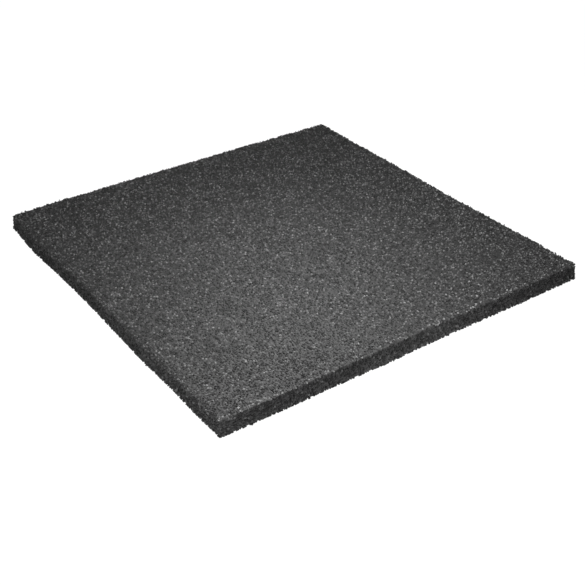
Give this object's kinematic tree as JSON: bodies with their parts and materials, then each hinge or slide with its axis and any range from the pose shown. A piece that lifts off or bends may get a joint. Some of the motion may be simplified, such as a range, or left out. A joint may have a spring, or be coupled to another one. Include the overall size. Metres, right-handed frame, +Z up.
{
  "type": "rubber safety mat",
  "caption": "Square flat safety mat pressed in one piece from bonded rubber crumb, with a rounded rim and square butt sides.",
  "frame": {"origin": "centre of the underside, where the mat rests on the ground", "axes": "+Z up through the thickness, towards the tread face; +X and +Y square to the mat's sides"},
  "size_m": [0.5, 0.5, 0.02],
  "materials": {
    "bonded_crumb_rubber": "matte"
  },
  "bodies": {
    "root": {"rubber_mat": "bonded_crumb_rubber"}
  },
  "joints": []
}
